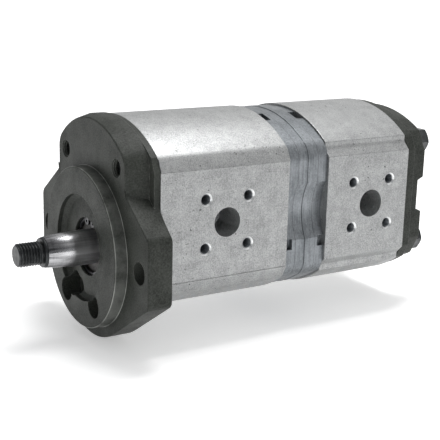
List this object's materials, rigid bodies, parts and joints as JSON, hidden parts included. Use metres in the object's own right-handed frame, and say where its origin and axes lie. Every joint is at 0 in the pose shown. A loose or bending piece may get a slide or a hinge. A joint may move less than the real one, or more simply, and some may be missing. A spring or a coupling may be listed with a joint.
{
  "type": "hydraulic gear pump",
  "caption": "Tandem hydraulic gear pump with a pilot flange, a tapered threaded drive shaft, and flanged side ports on each section.",
  "frame": {"origin": "shaft axis in the plane of the mounting face", "axes": "shaft points to -X and the pump bodies follow to +X; pressure ports open to -Y; +Z points from the driving gear to the driven gear"},
  "size_m": [0.2342, 0.124, 0.1142],
  "materials": {
    "black_iron": "black phosphate, satin",
    "body_aluminium": "raw extruded, mottled",
    "plate_aluminium": "die cast, smooth",
    "block_aluminium": "machined",
    "gear_steel": "ground and polished",
    "spring_steel": "oiled",
    "bolt_steel": "black oxide",
    "bush_bronze": "sintered",
    "seal_rubber": "matte"
  },
  "bodies": {
    "housing": {"front_cover": "black_iron", "shaft_seal": "seal_rubber", "seal_spring": "spring_steel", "seal_circlip": "spring_steel", "front_body": "body_aluminium", "front_nose_block": "block_aluminium", "front_tail_block": "block_aluminium", "front_plate": "plate_aluminium", "coupling_seal": "seal_rubber", "rear_plate": "plate_aluminium", "rear_body": "body_aluminium", "rear_nose_block": "block_aluminium", "rear_tail_block": "block_aluminium", "bearing_bushes": "bush_bronze", "balance_seals": "seal_rubber", "joint_seals": "seal_rubber", "rear_cover": "black_iron", "tie_bolts": "bolt_steel", "dowel_pins": "spring_steel"},
    "drive": {"drive_shaft": "gear_steel"},
    "front_driven": {"front_idler": "gear_steel"},
    "coupling": {"drive_coupling": "gear_steel"},
    "rear_drive": {"rear_drive_gear": "gear_steel"},
    "rear_driven": {"rear_idler": "gear_steel"}
  },
  "joints": [
    {"name": "drive_shaft_spin", "type": "hinge", "parent": "housing", "child": "drive", "pos_m": [0, 0, 0], "axis": [1, 0, 0], "continuous": true},
    {"name": "front_idler_spin", "type": "hinge", "parent": "housing", "child": "front_driven", "pos_m": [0.05245, 0, 0.0345], "axis": [1, 0, 0], "continuous": true},
    {"name": "coupling_spin", "type": "hinge", "parent": "housing", "child": "coupling", "pos_m": [0.1018, 0, 0], "axis": [1, 0, 0], "continuous": true},
    {"name": "rear_gear_spin", "type": "hinge", "parent": "housing", "child": "rear_drive", "pos_m": [0.1442, 0, 0], "axis": [1, 0, 0], "continuous": true},
    {"name": "rear_idler_spin", "type": "hinge", "parent": "housing", "child": "rear_driven", "pos_m": [0.1442, 0, 0.0345], "axis": [1, 0, 0], "continuous": true}
  ],
  "couplings": [
    {"joint": "front_idler_spin", "follows": "drive_shaft_spin", "ratio": -1},
    {"joint": "coupling_spin", "follows": "drive_shaft_spin", "ratio": 1},
    {"joint": "rear_gear_spin", "follows": "drive_shaft_spin", "ratio": 1},
    {"joint": "rear_idler_spin", "follows": "drive_shaft_spin", "ratio": -1}
  ]
}
